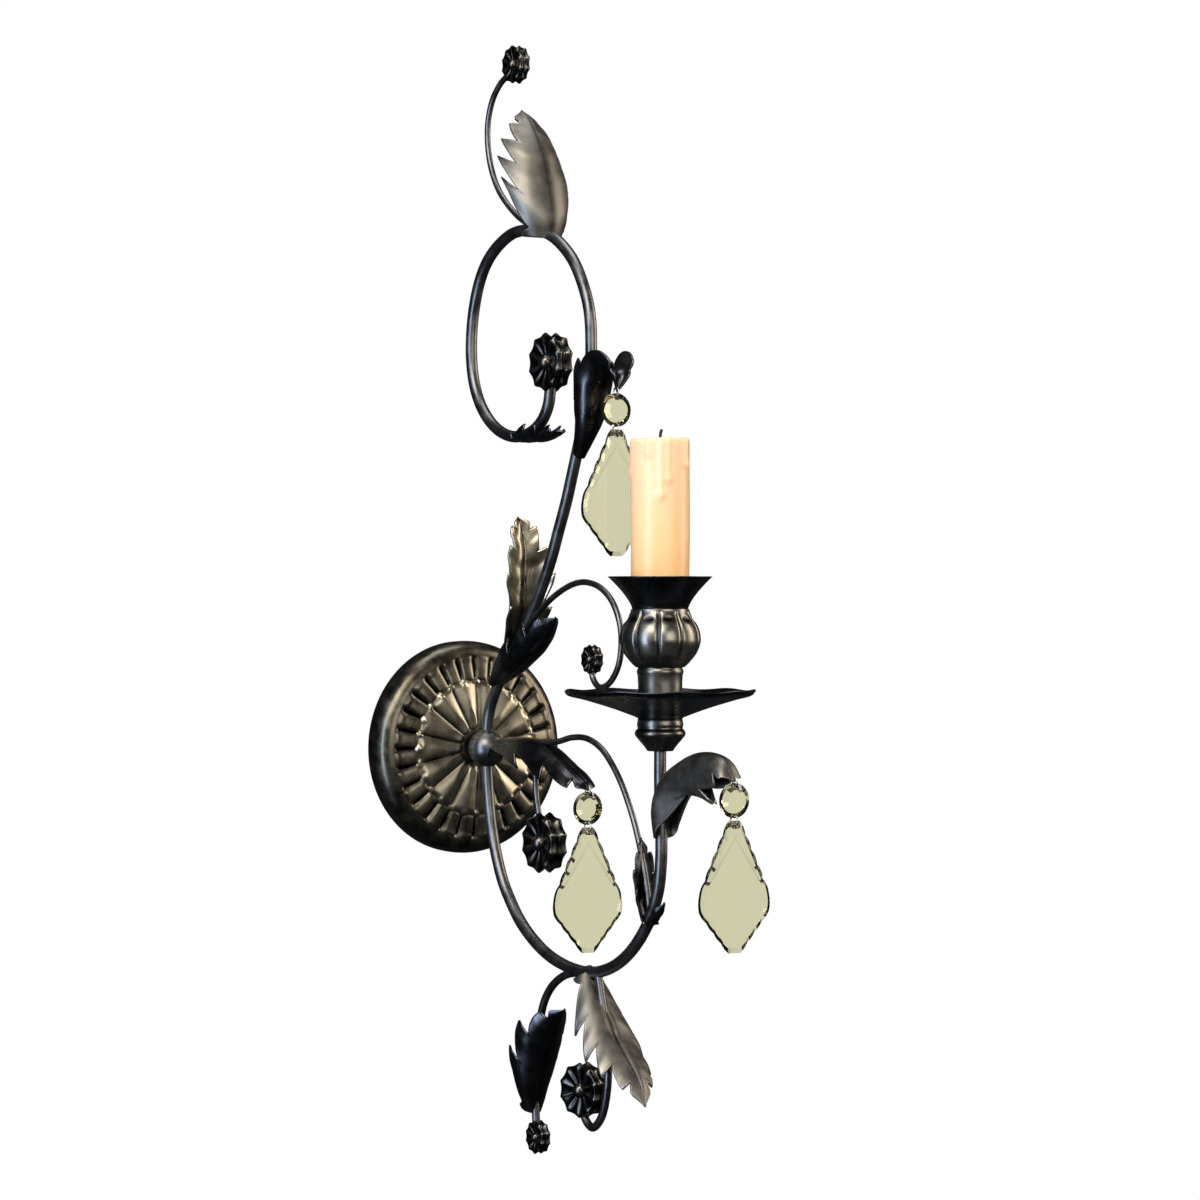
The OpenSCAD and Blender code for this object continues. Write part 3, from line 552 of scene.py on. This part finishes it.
def chased_leaf(name, drawn, width, wrap, side, lobes, base, notch=0.42, sweep=0.55,
        crease=0.5, relief_mm=1.0, fullness=0.74, fold_mm=None, rounded=0.0,
        lacquer_coat=None):
    """A lobed sheet leaf along its drawn midrib.

    The width and the base width are those of the blank from edge to centre. Wrap is how
    far each half bends, in degrees, at the base, the middle and the tip, and side says
    which way it opens. Notch is the depth of the notches as a share of the width. Sweep
    leans the edges towards the tip, crease sinks the midrib, and a low fullness widens
    the leaf near its base. With fold_mm the halves bend at that radius and then go on
    flat. Rounded is the share of the length over which the base is round."""
    q = np.array(in_plane(drawn))
    m = len(q) - 1
    across = np.linspace(-1, 1, 33)
    points, rub_and_painted_light = [], []
    steps = leaf_steps(lobes)
    for t in steps:
        c = smooth_at(q, t * m)
        ahead = smooth_at(q, min(t * m + LOOK_AHEAD, m))
        behind = smooth_at(q, max(t * m - LOOK_AHEAD, 0))
        g = (ahead - behind) / np.linalg.norm(ahead - behind)
        n = side * np.array([0, g[2], -g[1]])
        in_lobe = LOBE_START < t < LOBE_END
        u = ((t - LOBE_START) / (LOBE_END - LOBE_START) * lobes) % 1 if in_lobe else 1.0
        swell = max(0.02, math.sin(math.pi * (0.04 + 0.96 * t) ** fullness))
        wide = base * (1 - t) + (width - base) * swell
        if t < rounded:
            wide *= math.sqrt(1 - (1 - t / rounded) ** 2) * 0.97 + 0.03
        cut = share_left(t, u, in_lobe, notch)
        bend = math.radians(three(wrap, t))
        r = fold_mm or wide / bend
        lean = sweep * wide * min(1, 6 * t)
        for share in across:
            v = share * cut
            a = abs(v)
            angle = min(a * wide / r, bend) * (1 if v > 0 else -1)
            flat = max(0, a * wide - r * bend) * (1 if v > 0 else -1)
            out = math.sin(angle) * SIDEWAYS - math.cos(angle) * n
            past = math.cos(angle) * SIDEWAYS + math.sin(angle) * n
            vein = 0
            if in_lobe:
                vein = math.exp(-((u - VEIN_AT) / VEIN_WIDTH) ** 2) * a ** 0.8
            rib = math.exp(-(v / RIB_WIDTH) ** 2)
            swing = math.sin(11 * t + 2.0 * v + len(name)) * math.cos(7 * t - 3 * v)
            edge = abs(share) ** 14
            relief = relief_mm * (0.55 * vein + 0.4 * swing) - crease * rib + 0.35 * edge
            relief *= min(1, wide / FLAT_UNDER_MM) * (1 - t ** 8)
            points.append(c + r * (out + n) + flat * past + relief * out + lean * a ** 1.6 * g)
            # Rub value: wear and painted highlight on veins and edges, painted shade in the sunk
            # midrib.
            rub_and_painted_light.append(0.45 + 0.3 * vein + 0.15 * swing - 0.4 * rib + 0.6 * edge)
    faces = grid_faces(len(steps), len(across))
    if side > 0:
        faces = [f[::-1] for f in faces]
    obj = mesh_object(name, points, faces, rub_and_painted_light)
    sheet = obj.modifiers.new("sheet", "SOLIDIFY")
    sheet.thickness = SHEET * MM
    sheet.offset = 1.0
    sheet.use_quality_normals = True
    finished(obj, "sconce", [name.replace("_sheet", "")],
        lacquer_coat or sheet_lacquer)


chased_leaf("crown_leaf_sheet", [[104, 303], [106, 315], [103, 332], [98, 348], [91, 362],
    [82, 374], [72, 382]], 35, [90, 84, 45], 1, 4, 8, 0.46, 0.66, crease=0.2,
    relief_mm=0.6, fullness=0.62)
chased_leaf("hook_leaf_sheet", [[138, 172], [149, 185], [156, 199], [160, 213], [167, 221],
    [174, 219], [175, 209]], 28, [150, 118, 80], 1, 3, 7, 0.24, 0.3,
    fullness=0.95, lacquer_coat=painted_shade_lacquer)
chased_leaf("collar_leaf_sheet", [[64, 184], [83, 183], [102, 184], [120, 188]], 18,
    [120, 90, 70], 1, 3, 5, 0.6, lacquer_coat=painted_shade_lacquer)
# The creased leaf takes the plate's darker coat and brighter rub: painted shade and painted
# highlight for its dark and bright reflections.
chased_leaf("creased_leaf_sheet", [[58, 56], [66, 73], [71, 89], [73, 104], [73, 119], [71, 131],
    [67, 139]], 23, [95, 60, 45], -1, 4, 6, relief_mm=2.4, lacquer_coat=plate_lacquer)
chased_leaf("sleeve_leaf_sheet", [[44, 36], [62, 44], [79, 52], [94, 62], [103, 71], [110, 79]], 25,
    [118, 105, 80], 1, 3, 7, lacquer_coat=painted_shade_lacquer)
chased_leaf("hub_leaf_sheet", [[39.4, 3.6], [54, 7], [70, 8], [88, 7], [104, 3], [119, -4],
    [131, -10], [141, -15], [145, -21]], 28, [120, 95, 35], -1, 3, 6, lacquer_coat=painted_shade_lacquer)
chased_leaf("front_leaf_sheet", [[219, -46], [216.5, -29], [225, -11], [243, -0.5], [264, 5],
    [284, 2], [293.5, -10]], 45, [108, 105, 92], -1, 3, 2, 0.30, 0.5, crease=0.1,
    relief_mm=0.8, fullness=0.66, fold_mm=7.5, rounded=0.2)
chased_leaf("joint_leaf_sheet", [[206, -96], [203, -80], [202, -63], [200, -46]], 14,
    [90, 60, 35], -1, 3, 5, lacquer_coat=painted_shade_lacquer)
chased_leaf("joint_bract_sheet", [[211, -97], [217, -92], [222, -87], [225, -82]], 9,
    [150, 120, 80], 1, 1, 6, lacquer_coat=painted_shade_lacquer)
chased_leaf("tail_leaf_sheet", [[148, -126], [157, -138], [167, -151], [177, -163], [188, -174],
    [199, -185], [205, -199]], 27, [80, 58, 35], -1, 4, 6, 0.46, 0.6, crease=1.6,
    relief_mm=1.4)
chased_leaf("stem_leaf_sheet", [[88, -215], [94, -194], [101, -177], [109, -163], [120, -151]], 30,
    [118, 100, 80], 1, 3, 5, 0.42, 0.4, lacquer_coat=painted_shade_lacquer)
print("leaves made")

# %% [markdown]
# ## Rings of wedges
# The rosettes, the wall plate and the gadrooned bulb are all one shape repeated round an
# axis. It is enough to model one wedge well. A second tree puts copies of the wedge
# round the axis, realizes them and merges the shared edges into one closed skin.

# %% The wedge tree
WELD_MM = 0.01
wedge_tree, source = new_tree("ring_of_wedges", [("Count", "NodeSocketInt"),
    ("Merge", "NodeSocketFloat"), ("Material", "NodeSocketMaterial")])
spots = add(wedge_tree, "GeometryNodePoints", {"Count": source.outputs["Count"]})
index = add(wedge_tree, "GeometryNodeInputIndex")
step = add(wedge_tree, "ShaderNodeMath", {0: math.tau, 1: source.outputs["Count"]},
    operation="DIVIDE")
angle = add(wedge_tree, "ShaderNodeMath", {0: index.outputs[0], 1: step.outputs[0]},
    operation="MULTIPLY")
euler = add(wedge_tree, "ShaderNodeCombineXYZ", {"Z": angle.outputs[0]})
turn = add(wedge_tree, "FunctionNodeEulerToRotation", {"Euler": euler.outputs[0]})
copies = add(wedge_tree, "GeometryNodeInstanceOnPoints", {"Points": spots.outputs[0],
    "Instance": source.outputs["Geometry"], "Rotation": turn.outputs[0]})
joined = add(wedge_tree, "GeometryNodeRealizeInstances", {"Geometry": copies.outputs[0]})
merged = add(wedge_tree, "GeometryNodeMergeByDistance", {"Geometry": joined.outputs[0],
    "Distance": source.outputs["Merge"]})
end_tree(wedge_tree, source, merged.outputs[0])


def ring_of_wedges(name, section, count, across, material, place, loop=True, extra=None):
    """Wedges round +Z, count of them.

    The section gives [radius, height, rub] for a share across the wedge, from -1 to 1; the rub
    value holds wear and painted light.
    Loop closes it where it is a ring, extra adds a modifier, and the place matrix then
    puts the ring where it belongs."""
    half = math.pi / count
    shares = np.linspace(-1, 1, across)
    columns = [section(f) for f in shares]
    length = len(columns[0])
    points, rub_and_painted_light = [], []
    for k in range(length):
        for f, column in zip(shares, columns):
            radius, height, wear_and_painted_light = column[k]
            points.append((radius * math.cos(f * half), radius * math.sin(f * half), height))
            rub_and_painted_light.append(wear_and_painted_light)
    faces = grid_faces(length, across)
    if loop:
        faces += [((length - 1) * across + j, (length - 1) * across + j + 1, j + 1, j)
            for j in range(across - 1)]
    obj = mesh_object(name, points, faces, rub_and_painted_light)
    use_tree(obj, wedge_tree, {"Count": count, "Merge": WELD_MM * MM, "Material": material})
    if extra:
        extra(obj)
    apply_modifiers(obj)
    obj.data.transform(place)
    return facing_out(obj)


def resample(rows, count):
    """A smooth profile with more rows, through drawn ones."""
    u = np.linspace(0, len(rows) - 1, count)
    return np.array([smooth_at(rows, k) for k in u])


# %% [markdown]
# ### Rosettes
# Each rosette is two cast flowers back to back, with ten sharply pleated petals and a
# groove between them in the side wall. A wedge is one petal: a ridge along its middle
# that falls away to a fold on each side. A bead closes each face, riveted through.

# %% Rosettes and their beads
ROSETTE_PETALS, ROSETTE_DEPTH = 10, 0.36
BEAD_SIZE, BEAD_SEAT = 0.14, 0.26
ROSETTE_ROWS = [[0.10, 0.26, 0, 0], [0.36, 0.34, 0, 0.07], [0.60, 0.44, 0.01, 0.10],
    [0.80, 0.50, 0.04, 0.09], [0.93, 0.44, 0.07, 0.04], [1.00, 0.28, 0.09, 0.01],
    [0.93, 0.12, 0.07, 0], [0.85, 0.04, 0.05, 0]]


def facing_sideways(drawn, turn=0.0):
    """A place in the scroll's plane, with the ring's axis along X."""
    return (Matrix.Translation(Vector((0, -drawn[0], drawn[1])) * MM)
        @ Matrix.Rotation(math.radians(turn), 4, "Z") @ Matrix.Rotation(math.radians(-90), 4, "Y"))


def rosette(name, node, drawn, diameter, turn=0):
    depth = ROSETTE_DEPTH * diameter
    rows = resample(ROSETTE_ROWS, 29)

    def section(f):
        low = math.sin(abs(f) * math.pi / 2)
        # Rub is high on the petal ridges and towards the rim, wear with painted highlight, and low
        # in the folds, which is painted shade.
        face = [(diameter / 2 * (r - low * dr), depth * (h - low * dh),
            0.75 - 0.9 * low + 0.3 * (r - 0.6)) for r, h, dr, dh in rows]
        return face + [(r, -h, w) for r, h, w in face[::-1]]

    obj = ring_of_wedges(name, section, ROSETTE_PETALS, 13, cast_lacquer,
        facing_sideways(drawn, turn))
    finished(obj, "sconce", [node])


def capped_faces(rows, around):
    """The faces of a closed grid, with one face over each end."""
    ends = [tuple(range(around)), tuple(range((rows - 1) * around, rows * around))]
    return grid_faces(rows, around, closed=True) + ends


def turned(name, node, profile, place, material, around=96, rub_and_painted_light=0.4):
    """A lathe-turned piece: a profile of [radius, height] points turned round +Z."""
    points = []
    for r, z in profile:
        for j in range(around):
            a = math.tau * j / around
            points.append((max(r, 0.001) * math.cos(a), max(r, 0.001) * math.sin(a), z))
    obj = mesh_object(name, points, capped_faces(len(profile), around), [rub_and_painted_light] * len(points))
    obj.data.transform(place)
    facing_out(obj, 0.003)
    return finished(obj, "sconce", [node], material)


ROSETTES = [("top", [65, 410], 23, 0), ("loop", [104, 230], 35, 0), ("hub", [97, -54], 36, 0),
    ("arch", [149, 55], 17.5, 0), ("left", [90, -229], 20, 0), ("right", [140, -196], 32.5, 12)]
for which, drawn, diameter, turn in ROSETTES:
    rosette(f"{which}_rosette_flower", f"{which}_rosette", drawn, diameter, turn)
    depth, bead = ROSETTE_DEPTH * diameter, BEAD_SIZE * diameter
    arc = [(bead * math.cos(a), depth * BEAD_SEAT + bead * math.sin(a) * 0.95)
        for a in np.linspace(0, math.pi / 2, 12)]
    turned(f"{which}_rivet_beads", f"{which}_rivet", [(r, -z) for r, z in arc[::-1]] + arc,
        facing_sideways(drawn, turn), cast_lacquer, around=48,
        rub_and_painted_light=0.8)

# %% [markdown]
# ### Wall plate
# The plate is pressed from one sheet: a round shoulder, 28 flutes with narrow slots
# between them, and 14 wide petals with thin sharp grooves that run up to the hub. One wedge
# holds one petal and the two flutes outside it. The petals end in a ridge, with a knob
# wherever a slot meets it. The slots and grooves carry painted shade, and the flutes,
# petals and knobs are lighter with wear and painted highlight. Solidify gives the sheet its 1.2 mm.

# %% Wall plate
PLATE_R, SHOULDER_W, SHOULDER_H, BOSS_R, PLATE_DEPTH = 63.5, 6.5, 16.0, 11.0, 21.0
PLATE_SPAN = PLATE_R - SHOULDER_W - BOSS_R
RIDGE = BOSS_R + PLATE_SPAN * 0.64
FIELD_R, FLUTE_END, PETALS, SHOULDER_RUB = 56.6, 56, 14, 0.12


def plate_section(f):
    shoulder = resample([(63.3, 0), (63.5, 6), (63.0, 9.5), (61.4, 12.6), (59.0, 14.6),
        (56.8, 15.5)], 22)
    column = [(*p, SHOULDER_RUB) for p in shoulder]
    for r in np.linspace(FIELD_R, BOSS_R, 96):
        u = (r - BOSS_R) / PLATE_SPAN
        z = SHOULDER_H + (PLATE_DEPTH - SHOULDER_H) * (1 - u ** 1.5) - 0.5 * ease((r - 50) / 7)
        wide = math.pi * r / PETALS
        side = abs((abs(f) - 0.5) * 2)
        along = (r - (RIDGE + FLUTE_END) / 2) / ((FLUTE_END - RIDGE) / 2)
        outer = ease(1.8 * (1 - along * along))
        inner = ease((RIDGE + 1.5 - r) / 5.0) * ease((r - BOSS_R) / 4)
        from_slot, from_groove = (1 - side) / 2 * wide, (1 - abs(f)) * wide
        slot = math.exp(-(from_slot / (1.0 + 0.06 * (r - RIDGE))) ** 2) * outer
        groove = math.exp(-(from_groove / 0.8) ** 2) * inner
        knob = math.exp(-((r - RIDGE + 0.5) / 1.6) ** 2 - (from_slot / 1.7) ** 2)
        flute, petal = (1 - side ** 2) * outer, (1 - abs(f) ** 1.6) * inner
        z += 0.7 * flute - 1.9 * slot + 1.7 * petal - 0.8 * groove + 1.0 * knob
        z -= 0.9 * ease((FIELD_R - r) / 6)
        # Painted shade in the slots and grooves; wear and painted highlight on the flutes, petals
        # and knobs.
        wear_and_painted_light = 0.20 + 0.15 * flute - 1.0 * slot + 0.60 * petal - 0.9 * groove + 0.8 * knob
        wear_and_painted_light = SHOULDER_RUB + (wear_and_painted_light - SHOULDER_RUB) * ease((PLATE_R - SHOULDER_W - r) / 9)
        column.append((r, min(z, PLATE_DEPTH - 0.02), wear_and_painted_light))
    column.append((5.0, PLATE_DEPTH - 0.05, 0.3))
    return column


def plate_wall(obj):
    wall = obj.modifiers.new("wall", "SOLIDIFY")
    wall.thickness = SHEET * MM
    wall.offset = -1.0


towards_room = Matrix.Rotation(math.radians(90), 4, "X")
plate = ring_of_wedges("backplate_pressing", lambda f: plate_section(f)[::-1], PETALS, 41,
    plate_lacquer, towards_room, loop=False, extra=plate_wall)
finished(plate, "sconce", ["backplate"])

# %% [markdown]
# ### Candle cup
# The cup is a stack on a threaded tube: a turned collar, a wide drip pan, a neck, a bulb
# of ten gadroons and a flared mouth. The plain ones are lathe profiles, and the bulb is
# a ring of wedges with a small oval hollow at the top of each gadroon. The pan's rim
# waves by half a millimetre, nine times round, as thin spun sheet does.

# %% Cup pieces
REACH, CUP_Z = 220.0, 4.0
COLLAR_H, PAN_FLOOR, NECK_H, BULB_H, FLARE_H, SEAT_DROP = 18.5, 4, 25, 33, 18.3, 9.5
PAN_Z = CUP_Z + COLLAR_H
NECK_Z = PAN_Z + PAN_FLOOR
BULB_Z = NECK_Z + NECK_H
FLARE_Z = BULB_Z + BULB_H
SEAT_Z = FLARE_Z + FLARE_H - SEAT_DROP
PAN_R, RIM_R, BULB_R, WAIST_R = 54.3, 29.7, 23.0, 15.9
RIM_WAVES, RIM_WAVE_MM, GADROONS = 9, 0.5, 10


def on_cup(z):
    return Matrix.Translation(Vector((0, -REACH, z)) * MM)


turned("stem_collar_turning", "stem_collar", [(0, 0), (7.1, 0), (7.7, 0.5), (8.2, 1.4),
    (9.8, 3.6), (11.6, 5.6), (13.2, 7.6), (14.2, 8.8), (14.5, 9.9), (14.3, 11), (13.6, 12),
    (12.9, 12.6), (12.8, 13.3), (13.1, 14.2), (13.2, 15.4), (12.9, 17), (12.6, COLLAR_H),
    (0, COLLAR_H)], on_cup(CUP_Z), cup_lacquer)


def pan_profile():
    under = resample([(12.6, 0), (15, 1.2), (27, 5.6), (40, 9.6), (51.6, 13.0), (54.0, 15.0)], 36)
    over = resample([(52.9, 15.7), (50.8, 14.2), (40, 10.9), (27, 6.9), (15, 4)], 30)
    lip = [(PAN_R, 15.5), (54.2, 15.95), (53.7, 16.0)]
    return [(0, 0), *under, *lip, *over, (0, PAN_FLOOR)]


pan = turned("drip_pan_spinning", "drip_pan", pan_profile(), on_cup(PAN_Z), painted_shade_lacquer,
    around=160)
for point in pan.data.vertices:
    x, y = point.co.x / MM, point.co.y / MM + REACH
    share = ease((math.hypot(x, y) - 42) / 12)
    point.co.z += RIM_WAVE_MM * MM * share * math.sin(RIM_WAVES * math.atan2(y, x))
turned("cup_neck_turning", "cup_neck", [(0, 0), (13.0, 0), (13.4, 0.5), (13.4, 1.4), (12.9, 2.4),
    (12.6, 4), (12.5, 9), (12.6, 16), (12.8, 20.5), (13.2, 21.8), (13.3, 22.8), (13.0, 23.8),
    (12.6, 24.4), (12.8, NECK_H), (0, NECK_H)], on_cup(NECK_Z), cup_lacquer)
BULB_ROWS = [[0, 0.60, 0], [0.05, 0.68, 0.05], [0.12, 0.77, 0.4], [0.24, 0.90, 0.8],
    [0.40, 0.99, 1], [0.52, 1.00, 1], [0.66, 0.96, 1], [0.80, 0.86, 1], [0.90, 0.77, 0.7],
    [0.96, 0.73, 0.2], [1, 0.72, 0]]


def bulb_section(f):
    column = [(0.01, 0.0, 0.2)]
    for h, r, flute in resample(BULB_ROWS, 60):
        fold = math.exp(-((1 - abs(f)) / 0.13) ** 2)
        oval = math.exp(-((h - 0.83) / 0.045) ** 2 - (f / 0.5) ** 2)
        radius = BULB_R * (r - 0.03 * flute * f * f - 0.05 * flute * fold) - 1.2 * oval
        # The folds between gadroons and the oval hollows get a low rub value: painted shade.
        column.append((radius, h * BULB_H, 0.62 - 0.7 * fold * flute - 1.3 * oval))
    column.append((0.01, BULB_H, 0.2))
    return column


bulb = ring_of_wedges("cup_bulb_gadroons", bulb_section, GADROONS, 21, cup_lacquer,
    on_cup(BULB_Z), loop=False)
finished(bulb, "sconce", ["cup_bulb"])


def flare_profile():
    outer = [(WAIST_R + (RIM_R - WAIST_R) * h ** 1.4, h * FLARE_H)
        for h in np.linspace(0, 0.97, 24)]
    inner = [(r - 1.3, z + 0.2) for r, z in outer[::-1] if z > 1.8]
    lip = [(RIM_R - 0.1, 18.0), (RIM_R - 0.3, 18.45), (RIM_R - 0.9, 18.5), (RIM_R - 1.5, 18.2)]
    return [(0, 0)] + outer + lip + inner + [(0, 2)]


turned("cup_flare_spinning", "cup_flare", flare_profile(), on_cup(FLARE_Z), painted_shade_lacquer)

# %% [markdown]
# ## Candle
# A cast candle that has burned a little: its wall is not quite straight, wax has run
# over the edge and set as drips, and a shallow pool lies round the wick. Each drip is
# a swelling of the wall that ends in a fatter bead. DRIPS gives each one's angle, the
# height of its lower end, its half width and how proud it stands. POOL goes inwards from
# the rim, as [inset, drop] pairs.

# %% Candle and wick
CANDLE_R, CANDLE_H, DRIP_LIMIT = 17.2, 88.0, 1.1
POOL = ((0.5, 0.5), (1.5, 0.1), (2.8, 0.5), (4.5, 1.3), (8, 2.1), (12.5, 2.5), (17, 2.6))
DRIPS = [(238, 53, 2.6, 1.3), (252, 62, 2.2, 1.1), (212, 76, 2.0, 0.8), (148, 66, 5.0, 0.9),
    (300, 70, 3.2, 0.9), (20, 62, 3.0, 0.9), (80, 70, 3.4, 0.8), (110, 55, 2.6, 0.8)]


def wall_at(angle_deg, z):
    """The candle's radius at an angle and height, with its drips."""
    r = CANDLE_R - 0.5 + 0.18 * math.sin(math.radians(2 * angle_deg) + z / 19) \
        + 0.10 * math.sin(math.radians(3 * angle_deg) - z / 11)
    for where, low, half_mm, proud in DRIPS:
        off = ((angle_deg - where + 180) % 360 - 180) * math.pi / 180 * CANDLE_R
        beadness = math.exp(-((z - low - 2.5) / 2.6) ** 2)
        inside = 1 / (1 + math.exp(-(z - low) / 0.8))
        width = half_mm * (0.7 + 0.45 * beadness)
        r += proud * inside * (0.65 + 0.55 * beadness) * math.exp(-(off / width) ** 2)
    return min(r, CANDLE_R + DRIP_LIMIT)


def candle_mesh():
    around, points = 144, []
    heights = np.concatenate([[0, 0.4], np.linspace(0.9, CANDLE_H - 1.6, 78)])
    rows = []
    for k, z in enumerate(heights):
        rows.append([(wall_at(360 * j / around, z) - (0.7 if k == 0 else 0), z)
            for j in range(around)])
    for inset, drop in POOL:
        rows.append([(max(0.02, wall_at(360 * j / around, CANDLE_H - 2) - inset),
            CANDLE_H - drop - 0.35 * math.sin(math.radians(360 * j / around * 2) + 1)
            * min(1, 6 / inset ** 1.5)) for j in range(around)])
    for row in rows:
        for j, (r, z) in enumerate(row):
            a = math.tau * j / around
            points.append((r * math.cos(a), r * math.sin(a), z))
    return points, capped_faces(len(rows), around)


points, faces = candle_mesh()
candle = mesh_object("candle_with_drips", points, faces)
candle.data.transform(on_cup(SEAT_Z))
facing_out(candle)
finished(candle, "candle_body", ["candle"], wax)
top = SEAT_Z + CANDLE_H
bent_bar("burnt_wick", [(0, -REACH, top - 8), (0, -REACH, top - 3), (0.1, -REACH, top + 1),
    (0.4, -REACH - 0.2, top + 3.5), (0.9, -REACH - 0.5, top + 5)], 1.7, "wick", "candle_body",
    material=char)

# %% [markdown]
# ## Pieces that stay as the CAD made them
# The crystals' flat facets are exact in the CAD, as are the rings, the ball hub, the
# bracket, the stud, the nuts, the tube and the candle's seat. They only need a finish.

# %% Finishes on the kept CAD nodes
# The ball hub takes the bars' lighter coat, with its painted sheen.
KEPT = {"wall_bracket": zinc, "hub_stud": zinc, "stud_nut": zinc, "cup_tube": zinc,
    "cup_nut": zinc, "candle_seat": zinc, "ball_hub": bar_lacquer_with_painted_sheen}
for drop in ("upper", "lower", "front"):
    KEPT[f"{drop}_hook"] = KEPT[f"{drop}_link"] = wire
    KEPT[f"{drop}_bead"] = KEPT[f"{drop}_crystal"] = crystal
for node, finish in KEPT.items():
    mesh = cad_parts[node].data
    mesh.materials.clear()
    mesh.materials.append(finish)
print("kept nodes:", len(KEPT))
